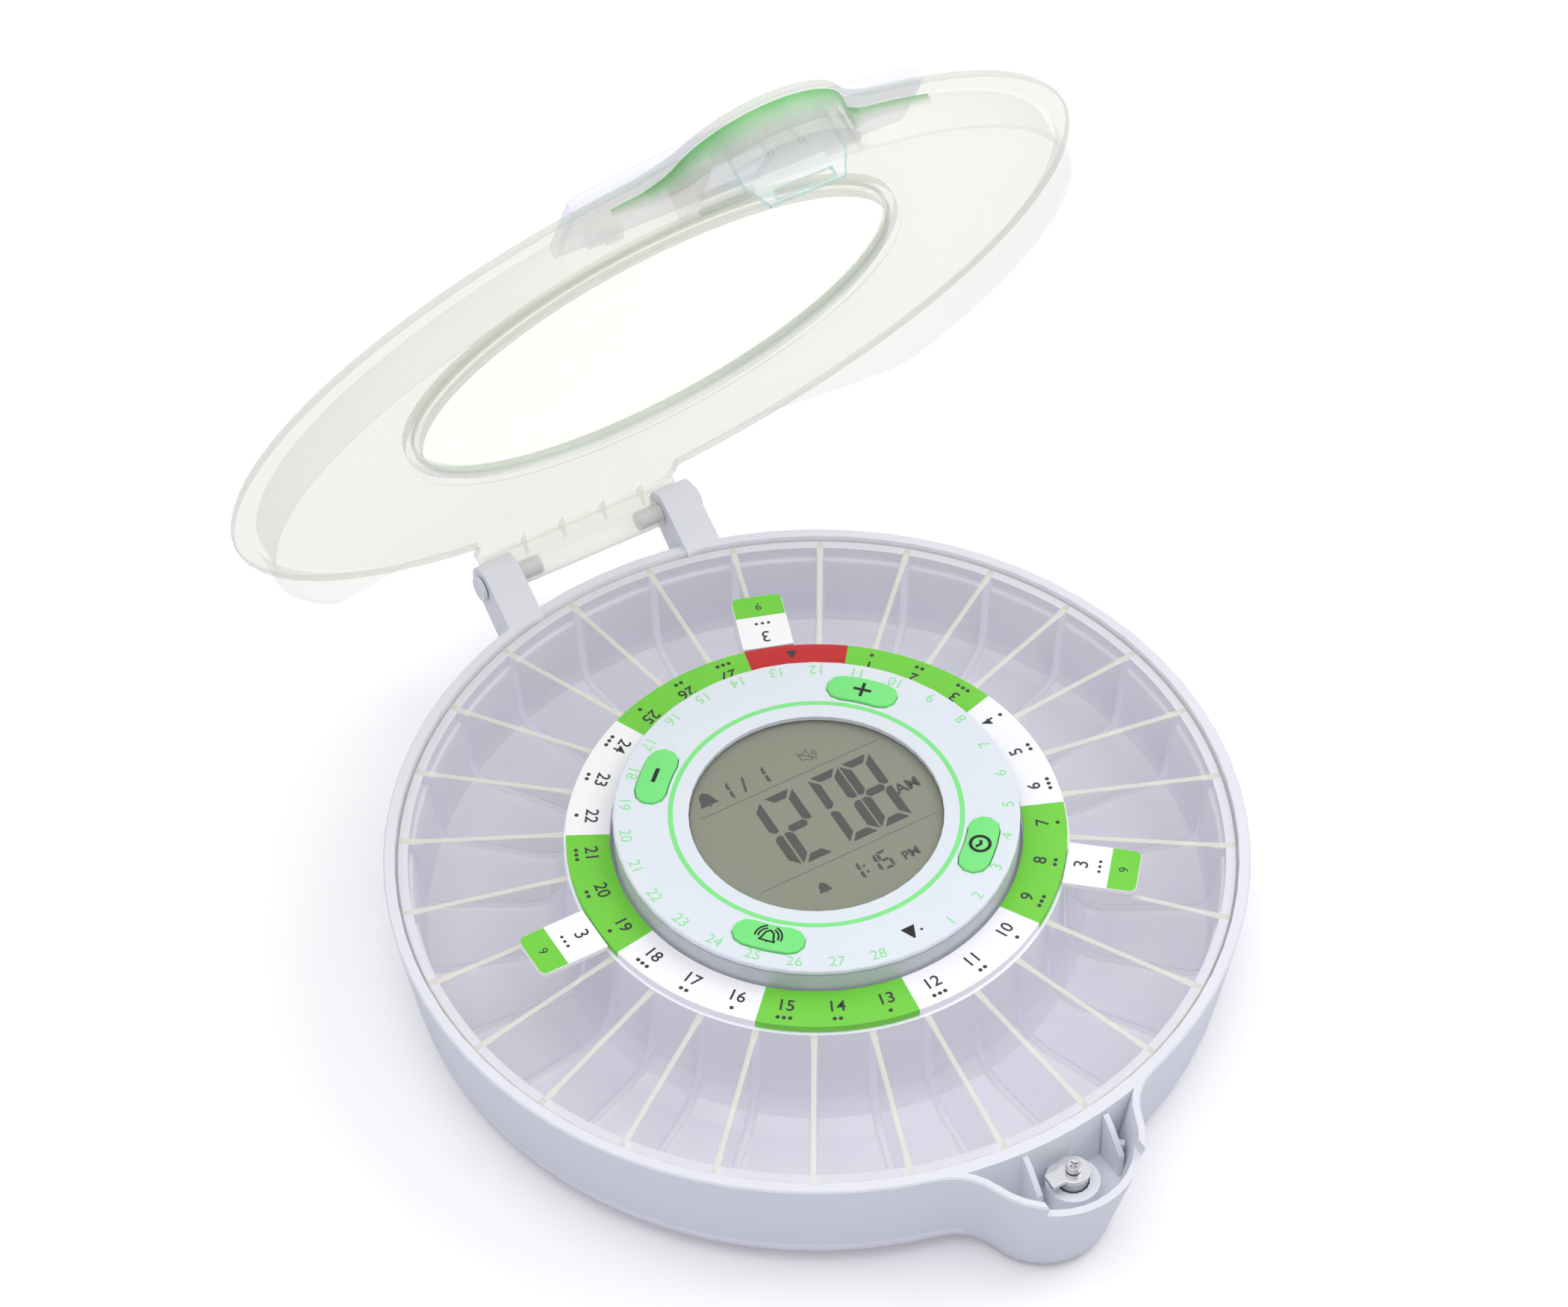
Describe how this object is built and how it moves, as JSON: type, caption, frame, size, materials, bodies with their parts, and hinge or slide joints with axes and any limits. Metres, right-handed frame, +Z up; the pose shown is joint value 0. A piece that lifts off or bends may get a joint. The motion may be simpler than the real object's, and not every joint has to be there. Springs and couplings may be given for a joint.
{
  "type": "electronic pill box",
  "caption": "Round electronic pill box with a turning tray of compartments, a display module with buttons, an open clear lid and a key lock",
  "frame": {"origin": "centre of the flat underside of the base, on the axis of the tray", "axes": "+Z up, the hinge toward +Y and the lock toward -Y, +X to the right seen from the lock"},
  "size_m": [0.2156, 0.2432, 0.2532],
  "materials": {
    "lilac_abs": "satin moulded ABS",
    "lilac_grey_abs": "satin moulded ABS",
    "frosted_tray": "frosted translucent polypropylene",
    "clear_lid": "translucent polypropylene",
    "clear_pane": "clear pane",
    "clear_latch": "clear polycarbonate",
    "green_insert": "translucent green",
    "paper_ring": "printed card laminate",
    "white_face": "printed overlay",
    "grey_body": "satin moulded ABS",
    "mint_button": "soft touch",
    "lcd_grey": "display glass",
    "clear_glass": "clear acrylic",
    "chrome_steel": "bright",
    "zinc_steel": "zinc plated",
    "nylon_gear": "nylon",
    "black_rubber": "matte",
    "pcb_green": "solder mask",
    "black_plastic": "satin",
    "cell_wrap": "printed wrap"
  },
  "bodies": {
    "base": {"base_shell": "lilac_abs", "foot_1": "black_rubber", "foot_2": "black_rubber", "foot_3": "black_rubber", "foot_4": "black_rubber", "battery_1": "cell_wrap", "battery_2": "cell_wrap", "battery_3": "cell_wrap", "battery_4": "cell_wrap", "battery_contacts_front": "zinc_steel", "battery_contacts_rear": "zinc_steel", "gearmotor": "black_plastic", "module_body": "grey_body", "circuit_board": "pcb_green", "buzzer": "black_plastic", "board_screw_1": "zinc_steel", "board_screw_2": "zinc_steel", "board_screw_3": "zinc_steel", "board_screw_4": "zinc_steel", "module_screw_1": "zinc_steel", "module_screw_2": "zinc_steel", "module_screw_3": "zinc_steel", "module_screw_4": "zinc_steel", "face_plate": "white_face", "lcd_display": "lcd_grey", "lcd_window": "clear_glass", "hinge_pin_left": "lilac_abs", "hinge_pin_right": "lilac_abs"},
    "tray": {"tray": "frosted_tray", "tray_gear_ring": "nylon_gear", "dial_ring": "paper_ring", "dial_tab_1": "paper_ring", "dial_tab_2": "paper_ring", "dial_tab_3": "paper_ring"},
    "pinion": {"drive_pinion": "nylon_gear"},
    "lid": {"lid_shell": "clear_lid", "lid_window": "clear_pane", "latch_tongue": "clear_latch", "cap_insert": "green_insert", "dose_door_pin_1": "zinc_steel", "dose_door_pin_2": "zinc_steel"},
    "dose_door": {"dose_door": "lilac_grey_abs"},
    "battery_door": {"battery_door": "lilac_abs"},
    "lock": {"lock_barrel": "zinc_steel", "lock_cam": "chrome_steel", "cam_screw": "chrome_steel"},
    "plus": {"button_plus": "mint_button"},
    "minus": {"button_minus": "mint_button"},
    "bell": {"button_bell": "mint_button"},
    "clock": {"button_clock": "mint_button"}
  },
  "joints": [
    {"name": "lid_hinge", "type": "hinge", "parent": "base", "child": "lid", "pos_m": [0, 0.1115, 0.0355], "axis": [-1, 0, 0], "range_deg": [-64.7, 40]},
    {"name": "tray_turn", "type": "hinge", "parent": "base", "child": "tray", "pos_m": [0, 0, 0.0064], "axis": [0, 0, 1], "continuous": true},
    {"name": "pinion_turn", "type": "hinge", "parent": "base", "child": "pinion", "pos_m": [0, 0.045, 0.02], "axis": [0, 0, 1], "continuous": true},
    {"name": "dose_door_hinge", "type": "hinge", "parent": "lid", "child": "dose_door", "pos_m": [0, 0.04312, 0.20637], "axis": [-1, 0, 0], "range_deg": [0, 95]},
    {"name": "battery_door_hinge", "type": "hinge", "parent": "base", "child": "battery_door", "pos_m": [0, -0.0258, 0.0015], "axis": [-1, 0, 0], "range_deg": [0, 100]},
    {"name": "lock_turn", "type": "hinge", "parent": "base", "child": "lock", "pos_m": [0.0024, -0.1089, 0.026], "axis": [0, 0, 1], "range_deg": [0, 90]},
    {"name": "press_plus", "type": "slide", "parent": "base", "child": "plus", "axis": [0, 0, -1], "range_m": [0, 0.0006], "stiffness_N_per_m": 1200},
    {"name": "press_minus", "type": "slide", "parent": "base", "child": "minus", "axis": [0, 0, -1], "range_m": [0, 0.0006], "stiffness_N_per_m": 1200},
    {"name": "press_bell", "type": "slide", "parent": "base", "child": "bell", "axis": [0, 0, -1], "range_m": [0, 0.0006], "stiffness_N_per_m": 1200},
    {"name": "press_clock", "type": "slide", "parent": "base", "child": "clock", "axis": [0, 0, -1], "range_m": [0, 0.0006], "stiffness_N_per_m": 1200}
  ],
  "couplings": [
    {"joint": "pinion_turn", "follows": "tray_turn", "ratio": 6}
  ]
}
